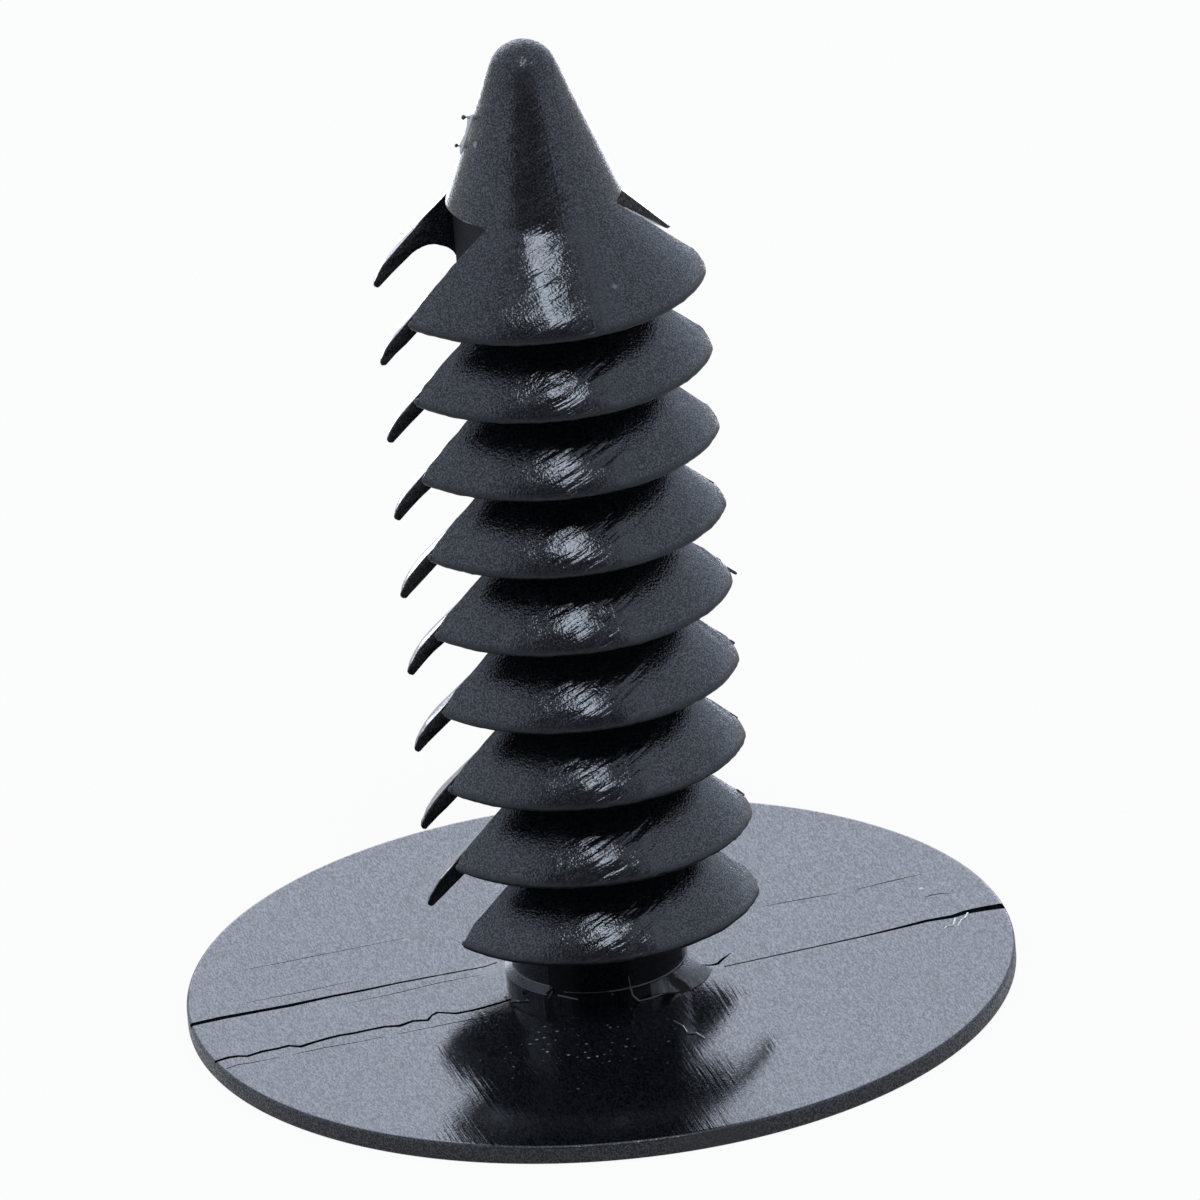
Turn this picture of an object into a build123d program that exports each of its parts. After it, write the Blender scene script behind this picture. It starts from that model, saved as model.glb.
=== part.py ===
from build123d import *

import os
from math import cos, radians, sin, tan

# Ratchet clip in millimetres: a thin round head with a stem of barbed fins, moulded in one piece.
# It stands on its head. The origin is the middle of the head's outer face and +Z runs up the stem.
# The fins stand in two rows, one facing -Y and the other +Y.

# Head
head_diameter = 25.0
head_thickness = 0.6
head_edge_radius = 0.1

# Low pad at the foot of the stem, as wide as the bare band
pad_ledge = 0.35
pad_height = 0.55

# Core of the stem, and its bare neck below the lowest fin
core_diameter = 5.3
neck_length = 2.45

# Fins, all alike, each sloping down and outwards from the core to a round rim
fin_count = 9
fin_pitch = 2.545
fin_reach = 2.37
fin_top_slope = 46.5
fin_underside_slope = 41.0
fin_rim_thickness = 0.34
fin_root_radius = 0.74

# Bare band across the stem, which parts the fins into two rows and flattens the core's two sides
row_gap = 3.4
band_depth = 0.55

# Nose, a cone with a round end
nose_taper = 21.0
nose_radius = 1.05

# Radii and heights of the main faces
head_radius = head_diameter / 2
core_radius = core_diameter / 2
pad_radius = core_radius + pad_ledge
rim_radius = core_radius + fin_reach
root_radius = core_radius / 2
pad_top = head_thickness + pad_height
lowest_rim = head_thickness + neck_length
band_foot = lowest_rim - fin_rim_thickness / 2
flat_distance = core_radius - band_depth

# Fin section, as (radius, height above the fin's lowest point)
top_angle = radians(fin_top_slope)
underside_angle = radians(fin_underside_slope)
rim_round = fin_rim_thickness / 2
rim_centre = rim_radius - rim_round
rim_upper = (rim_centre + rim_round * sin(top_angle), rim_round + rim_round * cos(top_angle))
rim_outer = (rim_radius, rim_round)
rim_lower = (rim_centre - rim_round * sin(underside_angle), rim_round - rim_round * cos(underside_angle))


def top_height(radius: float) -> float:
    """Height of a fin's upper face at a radius."""
    return rim_upper[1] + (rim_upper[0] - radius) * tan(top_angle)


def underside_height(radius: float) -> float:
    """Height of a fin's straight underside at a radius."""
    return rim_lower[1] + (rim_lower[0] - radius) * tan(underside_angle)


# Fillet between a fin's underside and the core
fillet_centre = core_radius + fin_root_radius
fillet_end_radius = fillet_centre + fin_root_radius * sin(underside_angle)
fillet_end = (fillet_end_radius, underside_height(fillet_end_radius))
fillet_foot = (core_radius, fillet_end[1] - fin_root_radius * cos(underside_angle))
fillet_top = (fillet_centre, fillet_foot[1] + fin_root_radius)

# The nose starts where the top fin's upper face meets the core
nose_angle = radians(nose_taper)
nose_foot = lowest_rim + (fin_count - 1) * fin_pitch + top_height(core_radius)
cone_end_radius = nose_radius * cos(nose_angle)
cone_end = (cone_end_radius, nose_foot + (core_radius - cone_end_radius) / tan(nose_angle))
nose_top = cone_end[1] + nose_radius * (1 - sin(nose_angle))

os.makedirs("parts", exist_ok=True)

with BuildPart() as clip:
    # Head, core and nose
    with BuildSketch(Plane.XZ):
        with BuildLine():
            FilletPolyline(
                (0, 0),
                (head_radius, 0),
                (head_radius, head_thickness),
                (core_radius, head_thickness),
                (core_radius, nose_foot),
                cone_end,
                radius=(head_edge_radius, head_edge_radius, 0, 0),
            )
            TangentArc(cone_end, (0, nose_top), tangent=(-sin(nose_angle), cos(nose_angle)))
            Line((0, nose_top), (0, 0))
        make_face()
    revolve(axis=Axis.Z)

    # The fins begin as whole rings, each drawn from inside the core to its rim and back
    for fin in range(fin_count):
        rim_height = lowest_rim + fin * fin_pitch
        with BuildSketch(Plane(origin=(0, 0, rim_height), x_dir=(1, 0, 0), z_dir=(0, -1, 0))):
            with BuildLine():
                Line((root_radius, top_height(root_radius)), rim_upper)
                ThreePointArc(rim_upper, rim_outer, rim_lower)
                Line(rim_lower, fillet_end)
                ThreePointArc(fillet_end, fillet_top, fillet_foot)
                Line(fillet_foot, (root_radius, fillet_foot[1]))
                Line((root_radius, fillet_foot[1]), (root_radius, top_height(root_radius)))
            make_face()
        revolve(axis=Axis.Z)

    # The bare band cuts each ring into a front and a rear fin, and ends under the nose
    for side in (-1, 1):
        with Locations((side * (flat_distance + rim_radius), 0, (band_foot + nose_foot) / 2)):
            Box(2 * rim_radius, row_gap, nose_foot - band_foot, mode=Mode.SUBTRACT)

    # Round pad at the foot, cut off where the bare band ends
    with BuildSketch():
        Circle(pad_radius)
        Rectangle(2 * pad_radius, row_gap, mode=Mode.INTERSECT)
    extrude(amount=pad_top)

clip.part.label = "clip_body"
export_step(clip.part, "parts/clip_body.step")
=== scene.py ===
"""Builds the looks of a push-in ratchet clip, moulded in one shot of black nylon, round its CAD model."""

import logging
import math
from dataclasses import dataclass
from enum import Enum
from functools import reduce
from typing import Callable, Sequence

import bmesh
import bpy
from mathutils import Matrix, Vector


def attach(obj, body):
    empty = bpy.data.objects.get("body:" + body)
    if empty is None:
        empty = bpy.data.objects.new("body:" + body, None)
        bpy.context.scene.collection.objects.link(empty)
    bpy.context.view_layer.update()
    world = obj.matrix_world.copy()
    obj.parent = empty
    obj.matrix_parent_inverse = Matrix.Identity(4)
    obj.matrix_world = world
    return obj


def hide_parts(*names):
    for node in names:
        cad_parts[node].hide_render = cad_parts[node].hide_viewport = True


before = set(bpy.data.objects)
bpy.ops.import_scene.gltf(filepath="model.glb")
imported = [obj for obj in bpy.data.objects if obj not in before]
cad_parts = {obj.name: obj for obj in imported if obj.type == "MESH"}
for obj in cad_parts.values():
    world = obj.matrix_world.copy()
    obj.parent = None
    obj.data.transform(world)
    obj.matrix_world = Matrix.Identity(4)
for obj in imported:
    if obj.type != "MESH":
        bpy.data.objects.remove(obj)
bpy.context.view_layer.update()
MM = 0.001
PHOTO_SIZE = 1200

# Driving sizes in millimetres, which several parts share
HEAD_RADIUS = 12.5
HEAD_TOP = 0.6
BURIED = 0.3
CORE_RADIUS = 2.65
FLAT_DISTANCE = 2.1
BAND_HALF_WIDTH = 1.7
LOWEST_RIM = 3.05
FIN_PITCH = 2.545
NOSE_FOOT = 26.145
NOSE_TAPER = 21.0

# Fineness of turned surfaces, and how near two points are one
SEGMENTS = 192
SAME_POINT = 0.0005
SAME_PLANE = 0.0002

Pair = tuple[float, float]
Triple = tuple[float, float, float]
Socket = bpy.types.NodeSocket
Value = Socket | float | Sequence[float]
Test = Callable[[Vector, Vector], bool]
log = logging.getLogger("ratchet_clip")


class Side(Enum):
    """Which way a row of fins faces along Y."""

    FRONT = -1
    REAR = 1


class Element(Enum):
    """The elements of a mesh that can be selected."""

    POINTS = "VERT"
    EDGES = "EDGE"
    FACES = "FACE"


def deselect_all() -> None:
    """Leaves edit mode and deselects every object."""
    if bpy.context.object is not None and bpy.context.object.mode != "OBJECT":
        bpy.ops.object.mode_set(mode="OBJECT")
    bpy.ops.object.select_all(action="DESELECT")


def activate(piece: bpy.types.Object) -> None:
    """Makes one object the only selected and active one.

    Args:
        piece: The object.
    """
    deselect_all()
    piece.select_set(True)
    bpy.context.view_layer.objects.active = piece


def edit(piece: bpy.types.Object) -> None:
    """Opens one object in edit mode with nothing selected.

    Args:
        piece: The object.
    """
    activate(piece)
    bpy.ops.object.mode_set(mode="EDIT")
    bpy.ops.mesh.select_all(action="DESELECT")


def select(element: Element, test: Test) -> int:
    """Selects the elements of the edited mesh that pass a test.

    Args:
        element: What is selected. An edge passes where both its ends do.
        test: Says yes or no to a place and the normal there.

    Returns:
        The number of selected elements.
    """
    bpy.ops.mesh.select_all(action="DESELECT")
    bpy.ops.mesh.select_mode(type=element.value)
    mesh = bmesh.from_edit_mesh(bpy.context.object.data)
    if element is Element.FACES:
        chosen = [(face, test(face.calc_center_median(), face.normal)) for face in mesh.faces]
    elif element is Element.EDGES:
        chosen = [(edge, all(test(end.co, end.normal) for end in edge.verts)) for edge in mesh.edges]
    else:
        chosen = [(point, test(point.co, point.normal)) for point in mesh.verts]
    for item, passes in chosen:
        item.select_set(passes)
    mesh.select_flush_mode()
    bmesh.update_edit_mesh(bpy.context.object.data)
    return sum(passes for _, passes in chosen)


def face_outwards() -> None:
    """Turns every face of the edited mesh outwards and leaves edit mode."""
    bpy.ops.mesh.select_all(action="SELECT")
    bpy.ops.mesh.normals_make_consistent(inside=False)
    bpy.ops.object.mode_set(mode="OBJECT")


def apply_modifier(piece: bpy.types.Object, modifier: bpy.types.Modifier) -> None:
    """Applies a modifier to its object's mesh."""
    activate(piece)
    bpy.ops.object.modifier_apply(modifier=modifier.name)


def draw_line(name: str, points: Sequence[Sequence[float]]) -> bpy.types.Object:
    """Draws a line by extruding one corner from point to point, and leaves it in edit mode.

    Args:
        name: The new object's name.
        points: The line's points in millimetres.

    Returns:
        The object, open in edit mode.
    """
    deselect_all()
    bpy.ops.mesh.primitive_plane_add(size=0.1, location=(0, 0, 0))
    line = bpy.context.object
    line.name = name
    bpy.ops.object.mode_set(mode="EDIT")
    bpy.ops.mesh.select_mode(type="VERT")
    bpy.ops.mesh.select_all(action="SELECT")
    bpy.ops.mesh.merge(type="CENTER")
    place = Vector((0, 0, 0))
    for step, point in enumerate(points):
        move = {"value": Vector(point) - place}
        if step == 0:
            bpy.ops.transform.translate(**move)
        else:
            bpy.ops.mesh.extrude_region_move(TRANSFORM_OT_translate=move)
        place = Vector(point)
    return line


def arc(centre: Pair, radius: float, start: float, end: float, steps: int) -> list[Pair]:
    """Points along an arc of a section.

    Args:
        centre: The arc's centre, as (radius, height).
        radius: The arc's radius.
        start: The angle of its first point in degrees, from outwards towards upwards.
        end: The angle of its last point in degrees.
        steps: The number of straight steps.

    Returns:
        The points, both ends among them.
    """
    angles = [math.radians(start + (end - start) * step / steps) for step in range(steps + 1)]
    return [
        (centre[0] + radius * math.cos(angle), centre[1] + radius * math.sin(angle)) for angle in angles
    ]


def drum(radius: float, bottom: float, top: float) -> list[Pair]:
    """The section of a plain round drum, as (radius, height)."""
    return [(0, bottom), (radius, bottom), (radius, top), (0, top)]


def turn_section(
    name: str, section: Sequence[Pair], sweep: float = 360, start: float = 0
) -> bpy.types.Object:
    """Turns a section about the stem's axis and closes what the turn leaves open.

    Args:
        name: The new object's name.
        section: The section's points, as (radius, height).
        sweep: The turn in degrees, from +X towards -Y.
        start: Where the turn starts, in degrees from +X towards -Y.

    Returns:
        The turned object, in object mode.
    """
    first = math.radians(start)
    across, ahead = math.cos(first), -math.sin(first)
    turned = draw_line(name, [(radius * across, radius * ahead, height) for radius, height in section])
    bpy.ops.mesh.select_all(action="SELECT")
    bpy.ops.mesh.spin(
        steps=max(4, round(SEGMENTS * sweep / 360)),
        angle=math.radians(sweep),
        center=(0, 0, 0),
        axis=(0, 0, 1),
    )
    bpy.ops.mesh.select_all(action="SELECT")
    bpy.ops.mesh.remove_doubles(threshold=SAME_POINT)
    if sweep < 360:
        bpy.ops.mesh.fill_holes(sides=0)
    face_outwards()
    return turned


def slice_off(piece: bpy.types.Object, place: float, outward: Sequence[float]) -> None:
    """Cuts a piece by a plane, drops what lies beyond it and closes the cut.

    Args:
        piece: The closed piece to cut.
        place: The plane's distance from the origin, along its normal.
        outward: The plane's normal, towards what is dropped.
    """
    edit(piece)
    bpy.ops.mesh.select_all(action="SELECT")
    bpy.ops.mesh.bisect(
        plane_co=Vector(outward) * place,
        plane_no=outward,
        use_fill=True,
        clear_outer=True,
        threshold=SAME_PLANE,
    )
    face_outwards()


def join(pieces: Sequence[bpy.types.Object], name: str) -> bpy.types.Object:
    """Joins several objects into the first one.

    Args:
        pieces: The objects to join.
        name: The joined object's name.

    Returns:
        The joined object.
    """
    activate(pieces[0])
    for piece in pieces:
        piece.select_set(True)
    bpy.ops.object.join()
    pieces[0].name = name
    return pieces[0]


def copy_of(piece: bpy.types.Object, name: str) -> bpy.types.Object:
    """Copies an object with its own mesh.

    Args:
        piece: The object to copy.
        name: The copy's name.

    Returns:
        The copy, selected and active.
    """
    activate(piece)
    bpy.ops.object.duplicate(linked=False)
    copy = bpy.context.object
    copy.name = name
    return copy


def paint_pale_light(piece: bpy.types.Object, share: float) -> None:
    """Paints a piece paler than the rest. This is painted light: the light that comes through thin flash, and
    highlights and reflections on thin lines, edges and the web.

    Args:
        piece: The piece to mark.
        share: How pale it is, from 0 to 1.
    """
    painted_light_marks = piece.data.attributes.new("pale", "FLOAT", "POINT")
    for mark in painted_light_marks.data:
        mark.value = share


@dataclass
class Flake:
    """A thin flat film of flash, bounded by a few points."""

    name: str
    outline: list[Triple]
    thickness: Triple
    pale: float = 0.0

    def build(self) -> bpy.types.Object:
        """Draws the outline, fills it and gives it a thickness.

        Returns:
            The film as a closed mesh, in millimetres.
        """
        film = draw_line(self.name, self.outline)
        bpy.ops.mesh.select_all(action="SELECT")
        bpy.ops.mesh.edge_face_add()
        bpy.ops.mesh.quads_convert_to_tris()
        bpy.ops.mesh.extrude_region_move(TRANSFORM_OT_translate={"value": self.thickness})
        face_outwards()
        paint_pale_light(film, self.pale)
        return film


@dataclass
class Sliver:
    """A thin burr, hair or thread of flash. It follows a few points, each with the radius there."""

    name: str
    points: list[tuple[float, float, float, float]]
    pale: float = 0.0

    def build(self) -> bpy.types.Object:
        """Draws the line, gives it a skin and rounds it.

        Returns:
            The sliver as a closed mesh, in millimetres.
        """
        piece = draw_line(self.name, [point[:3] for point in self.points])
        bpy.ops.object.mode_set(mode="OBJECT")
        skin = piece.modifiers.new("Skin", "SKIN")
        skin.use_smooth_shade = True
        corners = piece.data.skin_vertices[0].data
        corners[0].use_root = True
        for corner, (_, _, _, radius) in zip(corners, self.points):
            corner.radius = (radius, radius)
        apply_modifier(piece, skin)
        rounding = piece.modifiers.new("Rounding", "SUBSURF")
        rounding.levels = rounding.render_levels = 1
        apply_modifier(piece, rounding)
        paint_pale_light(piece, self.pale)
        return piece


@dataclass
class MouldLine:
    """A narrow step that the mould's edge left across the head, sunk as a groove.

    Its points run from left to right, each as (x, y, width). Two cuts first mark off a strip that is a
    margin wider than the line, and all the others stay within it. They part only faces that look up and
    lie in the skin of the head.
    """

    points: list[Triple]
    depth: float = 0.12
    margin: float = 0.3
    skin: float = 0.11
    least_upward: float = 0.3

    def score(self, head: bpy.types.Object, top: float) -> None:
        """Cuts the line into the head's upper face and sinks it.

        Args:
            head: The head, whose upper face is cut.
            top: The height of that face.
        """
        edit(head)
        xs = [x for x, _, _ in self.points]
        ys = [y for _, y, _ in self.points]
        low, high = min(ys) - self.margin, max(ys) + self.margin

        def on_side(centre: Vector, normal: Vector) -> bool:
            """Says whether a face is in the upper skin, on the line's side of the head."""
            in_skin = normal.z > self.least_upward and centre.z > top - self.skin
            return in_skin and centre.x * (xs[0] + xs[-1]) > 0

        def in_strip(centre: Vector, normal: Vector) -> bool:
            """Says whether a face is in the strip round the line."""
            return on_side(centre, normal) and low < centre.y < high

        def in_groove(centre: Vector, normal: Vector) -> bool:
            """Says whether a face is in the line itself."""
            return in_strip(centre, normal) and self._covers(centre)

        for level in (low, high):
            select(Element.FACES, on_side)
            self._cut((0, level), (0, 1))
        for x in xs:
            select(Element.FACES, in_strip)
            self._cut((x, 0), (1, 0))
        for (x0, y0, w0), (x1, y1, w1) in zip(self.points, self.points[1:]):

            def in_span(centre: Vector, normal: Vector) -> bool:
                """Says whether a face is in the strip, between the two points."""
                return in_strip(centre, normal) and x0 < centre.x < x1

            for edge in (-0.5, 0.5):
                start, end = (x0, y0 + edge * w0), (x1, y1 + edge * w1)
                select(Element.FACES, in_span)
                self._cut(start, (start[1] - end[1], end[0] - start[0]))
        log.info("mould line of %d faces", select(Element.FACES, in_groove))
        move = {"value": (0, 0, -self.depth)}
        bpy.ops.mesh.extrude_region_move(TRANSFORM_OT_translate=move)
        bpy.ops.object.mode_set(mode="OBJECT")

    def _covers(self, place: Vector) -> bool:
        """Says whether a place lies on the line, seen from above.

        Args:
            place: The place in millimetres.

        Returns:
            Whether it lies within the line's width there.
        """
        for (x0, y0, w0), (x1, y1, w1) in zip(self.points, self.points[1:]):
            if x0 < place.x < x1:
                share = (place.x - x0) / (x1 - x0)
                middle = y0 + (y1 - y0) * share
                half = 0.5 * (w0 + (w1 - w0) * share)
                return abs(place.y - middle) < half
        return False

    @staticmethod
    def _cut(through: Pair, across: Pair) -> None:
        """Cuts the selected faces by an upright plane, given a point on it and its normal."""
        normal = Vector((*across, 0)).normalized()
        bpy.ops.mesh.bisect(plane_co=(*through, 0), plane_no=normal, threshold=SAME_PLANE)


@dataclass
class Head:
    """The thin round head, with the steps that the mould left across its upper face."""

    lines: list[MouldLine]
    radius: float = HEAD_RADIUS
    thickness: float = HEAD_TOP
    edge_radius: float = 0.1
    border: float = 0.06

    def build(self) -> bpy.types.Object:
        """Turns the head and scores the mould lines.

        Returns:
            The head as a closed mesh, in millimetres.
        """
        edge = self.edge_radius
        inner = self.radius - edge
        section = [(0, 0), (inner - self.border, 0)]
        section += arc((inner, edge), edge, -90, 0, steps=4)
        section += arc((inner, self.thickness - edge), edge, 0, 90, steps=4)
        section += [(inner - self.border, self.thickness), (0, self.thickness)]
        head = turn_section("head", section)
        for line in self.lines:
            line.score(head, self.thickness)
        return head


@dataclass
class Stem:
    """The core with its round neck and its two flat sides, and the cone nose that overhangs them."""

    band_foot: float = 2.88
    overlap: float = 0.01
    nose_radius: float = 1.05
    nose_edge: float = 0.03

    def build(self) -> bpy.types.Object:
        """Turns the neck, the core and the nose, and flattens the core.

        Returns:
            The stem as closed meshes in one object, in millimetres.
        """
        neck = turn_section("neck", drum(CORE_RADIUS, BURIED, self.band_foot))
        core = turn_section("core", drum(CORE_RADIUS, BURIED, NOSE_FOOT + self.overlap))
        for side in (-1, 1):
            slice_off(core, FLAT_DISTANCE, (side, 0, 0))
        return join([neck, core, self.build_nose()], "stem")

    def build_nose(self) -> bpy.types.Object:
        """Turns the cone with its round end.

        Returns:
            The nose as a closed mesh, in millimetres.
        """
        angle = math.radians(NOSE_TAPER)
        end_radius = self.nose_radius * math.cos(angle)
        end_height = NOSE_FOOT + (CORE_RADIUS - end_radius) / math.tan(angle)
        end_centre = (0, end_height - self.nose_radius * math.sin(angle))
        edge = self.nose_edge
        section = [(0, NOSE_FOOT), (CORE_RADIUS - edge, NOSE_FOOT)]
        section += [(CORE_RADIUS - edge * math.sin(angle), NOSE_FOOT + edge * math.cos(angle))]
        section += arc(end_centre, self.nose_radius, NOSE_TAPER, 90, steps=16)
        return turn_section("nose", section)


@dataclass
class Bead:
    """A thin raised line round the stem's axis, left by the mould's edge."""

    name: str
    centre: Pair
    thickness: float
    sweep: float
    start: float
    # How pale the bead is painted: a painted highlight along the raised line.
    pale: float

    def build(self) -> bpy.types.Object:
        """Turns the bead's round section.

        Returns:
            The bead as a closed mesh, in millimetres.
        """
        section = arc(self.centre, self.thickness / 2, 0, 360, steps=8)
        bead = turn_section(self.name, section, self.sweep, self.start)
        paint_pale_light(bead, self.pale)
        return bead


@dataclass
class Foot:
    """What the mould left round the foot of the stem: pad, web and thin witness lines."""

    pad_radius: float = 2.86
    pad_end: float = 1.2
    pad_top: float = 1.21
    pad_rim: float = 1.03
    web_radius: float = 3.38
    web_root: float = 0.2
    web_top: float = 1.06
    web_rim: float = 0.64
    web_bevel: Pair = (0.04, 0.02)
    web_start: float = 26.0
    web_sweep: float = 47.0
    web_taper: tuple[Pair, ...] = ((44, 3.37), (53, 3.25), (60, 2.98), (66, 2.74), (74, 2.70))
    web_taper_steps: int = 4
    web_edge_width: float = 0.1
    web_painted_reflection: float = 0.05
    bead_height: float = 1.11

    def build(self) -> bpy.types.Object:
        """Models the pad, the web and the witness lines.

        Returns:
            The foot as closed meshes in one object, in millimetres.
        """
        lines = [line.build() for line in self.witness_lines()]
        return join([self.build_pad(), self.build_web(), *lines], "foot")

    def build_pad(self) -> bpy.types.Object:
        """Turns the low pad with its sloping top and cuts it to the width of the bare band.

        Returns:
            The pad as a closed mesh, in millimetres.
        """
        section = [(0, BURIED), (self.pad_radius, BURIED), (self.pad_radius, self.pad_rim)]
        section += [(CORE_RADIUS, self.pad_top), (0, self.pad_top)]
        pad = turn_section("pad", section)
        for side in (-1, 1):
            slice_off(pad, BAND_HALF_WIDTH, (0, side, 0))
        slice_off(pad, self.pad_end, (1, 0, 0))
        return pad

    def build_web(self) -> bpy.types.Object:
        """Turns the thin web that fills the corner right of the foot's front, and narrows its end.

        Returns:
            The web as a closed mesh, in millimetres.
        """
        inside = CORE_RADIUS - self.web_root
        back, down = self.web_bevel
        section = [(inside, BURIED), (self.web_radius, BURIED)]
        section += [(self.web_radius, self.web_rim - down), (self.web_radius - back, self.web_rim)]
        section += [(CORE_RADIUS, self.web_top), (inside, self.web_top), (inside, BURIED)]
        web = turn_section("web", section, self.web_sweep, self.web_start)
        edit(web)
        steps = self.web_taper_steps
        for (start, wide), (end, narrow) in zip(self.web_taper, self.web_taper[1:]):
            for step in range(steps):
                low = start + (end - start) * step / steps
                high = start + (end - start) * (step + 1) / steps
                reach = wide + (narrow - wide) * (step + 0.5) / steps

                def on_edge(place: Vector, _: Vector) -> bool:
                    """Says whether a point lies on the outer edge, in this part of the turn."""
                    outside = math.hypot(place.x, place.y) > self.web_radius - self.web_edge_width
                    return outside and low <= math.degrees(math.atan2(-place.y, place.x)) < high

                if select(Element.POINTS, on_edge):
                    share = reach / self.web_radius
                    bpy.ops.transform.resize(value=(share, share, 1), center_override=(0, 0, 0))
        bpy.ops.object.mode_set(mode="OBJECT")
        # The web is painted a little pale: a painted reflection of the room on its sloping top.
        paint_pale_light(web, self.web_painted_reflection)
        return web

    def witness_lines(self) -> list[Bead | Sliver]:
        """The thin lines round the neck and the pad, and the two that run down the front.

        Returns:
            The lines, which are still to be built.
        """
        ring = (CORE_RADIUS, self.bead_height)
        pad_upper, pad_lower = (CORE_RADIUS, self.pad_top + 0.01), (self.pad_radius, self.pad_rim)
        front = -CORE_RADIUS
        # Their pale shares are painted highlights along these raised lines and the pad's edges.
        return [
            Bead("witness_ring", ring, 0.06, 76, 26, pale=0.10),
            Bead("witness_ring_left", ring, 0.036, 30, 102, pale=0.045),
            Bead("pad_edge", pad_upper, 0.05, 42, 142, pale=0.2),
            Bead("pad_edge", pad_lower, 0.05, 42, 142, pale=0.14),
            Sliver(
                "witness_line",
                [(0.08, front - 0.01, 1.5, 0.02), (0.12, front - 0.02, 1.1, 0.03)],
                pale=0.08,
            ),
            Sliver(
                "web_line",
                [
                    (0.12, front - 0.02, 1.1, 0.035), (0.16, front - 0.04, 0.85, 0.035),
                    (0.34, front - 0.04, 0.64, 0.03), (0.78, front + 0.02, 0.63, 0.025),
                    (1.12, front + 0.12, 0.63, 0.02),
                ],
                pale=0.2,
            ),
        ]


@dataclass
class FinRow:
    """One row of springy fins, which slope down and outwards from the core to a round rim."""

    side: Side
    count: int = 9
    rim_radius: float = 5.02
    rim_round: float = 0.12
    foot_height: float = 2.735
    shoulder_radius: float = 2.2
    shoulder_end: float = 24.0
    corner_radius: float = 0.34
    corner_cuts: tuple[float, ...] = (-12.0, 10.0, 32.0, 54.0, 74.0)
    top_slope: float = 46.5
    underside_slope: float = 41.0
    root_radius: float = 0.74
    inner_radius: float = 2.2
    cut_edge_radius: float = 0.045
    blend_radius: float = 1.0
    cut_tolerance: float = 0.002
    merge_distance: float = 0.012
    top_rear_cut: float = 19.549
    top_rear_cut_normal: Triple = (0.7264, 0.0344, 0.6864)
    ragged_size: float = 0.3
    ragged_depth: float = 0.09
    ragged_end_width: float = 0.06
    ragged_end_start: float = 3.2
    ragged_rim_width: float = 0.12
    ragged_rim_share: float = 0.6

    def section(self, blended: bool) -> list[Pair]:
        """The fin's closed section, from inside the core along its top, rim and underside.

        Args:
            blended: Whether the fin's top runs up into the nose in a hollow curve.

        Returns:
            The points, as (radius, height above the fin's lowest point).
        """
        under = math.radians(self.underside_slope)
        bend = math.radians(self.shoulder_end)
        rim_centre = (self.rim_radius - self.rim_round, self.rim_round)
        rim = arc(rim_centre, self.rim_round, self.shoulder_end, -90 - self.underside_slope, steps=10)
        shoulder_centre = (
            rim[0][0] - self.shoulder_radius * math.cos(bend),
            rim[0][1] - self.shoulder_radius * math.sin(bend),
        )
        shoulder = arc(shoulder_centre, self.shoulder_radius, 90 - self.top_slope, self.shoulder_end, steps=4)
        foot = (CORE_RADIUS, self.foot_height)
        centre = CORE_RADIUS + self.root_radius
        end_radius = centre + self.root_radius * math.sin(under)
        end_height = rim[-1][1] + (rim[-1][0] - end_radius) * math.tan(under)
        root_centre = (centre, end_height - self.root_radius * math.cos(under))
        root = arc(root_centre, self.root_radius, 90 - self.underside_slope, 180, steps=12)
        upper = self._blend(foot) if blended else [foot]
        inside = self.inner_radius
        section = [(inside, upper[0][1])] + upper + shoulder[:-1] + rim + root
        return section + [(inside, root[-1][1]), (inside, upper[0][1])]

    def _blend(self, foot: Pair) -> list[Pair]:
        """The hollow curve between the nose and the fin's top.

        Args:
            foot: The corner where they would meet, as (radius, height).

        Returns:
            The curve's points, from the nose down.
        """
        top = math.radians(self.top_slope)
        length = self.blend_radius * math.tan(math.radians(90 - NOSE_TAPER - self.top_slope) / 2)
        low = (foot[0] + length * math.cos(top), foot[1] - length * math.sin(top))
        centre = (low[0] + self.blend_radius * math.sin(top), low[1] + self.blend_radius * math.cos(top))
        return arc(centre, self.blend_radius, 180 + NOSE_TAPER, 270 - self.top_slope, steps=6)

    def build_fin(self, blended: bool = False) -> bpy.types.Object:
        """Turns one fin, cuts its two ends flat and rounds their edges.

        Args:
            blended: Whether it is the top fin, which runs up into the nose.

        Returns:
            The fin at the height of the lowest one, in millimetres.
        """
        fin = turn_section("fin", self.section(blended), sweep=180)
        slice_off(fin, -BAND_HALF_WIDTH, (0, 1, 0))
        if self.side is Side.FRONT:
            self._round_corner(fin)
        edit(fin)
        bpy.ops.mesh.select_all(action="SELECT")
        bpy.ops.mesh.remove_doubles(threshold=self.merge_distance)
        bpy.ops.mesh.normals_make_consistent(inside=False)

        def on_cut(place: Vector, _: Vector) -> bool:
            """Says whether a point lies in the plane that ends the fin."""
            return abs(place.y + BAND_HALF_WIDTH) < self.cut_tolerance

        select(Element.EDGES, on_cut)
        bpy.ops.mesh.bevel(offset=self.cut_edge_radius, segments=2, affect="EDGES", clamp_overlap=False)
        bpy.ops.mesh.select_all(action="SELECT")
        bpy.ops.transform.translate(value=(0, 0, LOWEST_RIM))
        if self.side is Side.REAR:
            bpy.ops.transform.rotate(value=math.pi, orient_axis="Z", center_override=(0, 0, 0))
        bpy.ops.object.mode_set(mode="OBJECT")
        return fin

    def _round_corner(self, fin: bpy.types.Object) -> None:
        """Rounds the corner that ends up on +X, by a few upright cuts.

        Args:
            fin: The fin, still facing -Y.
        """
        ahead = -BAND_HALF_WIDTH - self.corner_radius
        across = math.sqrt((self.rim_radius - self.corner_radius) ** 2 - ahead**2)
        for angle in self.corner_cuts:
            turn = math.radians(angle)
            place = across * math.cos(turn) + ahead * math.sin(turn) + self.corner_radius
            slice_off(fin, place, (math.cos(turn), math.sin(turn), 0))

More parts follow.
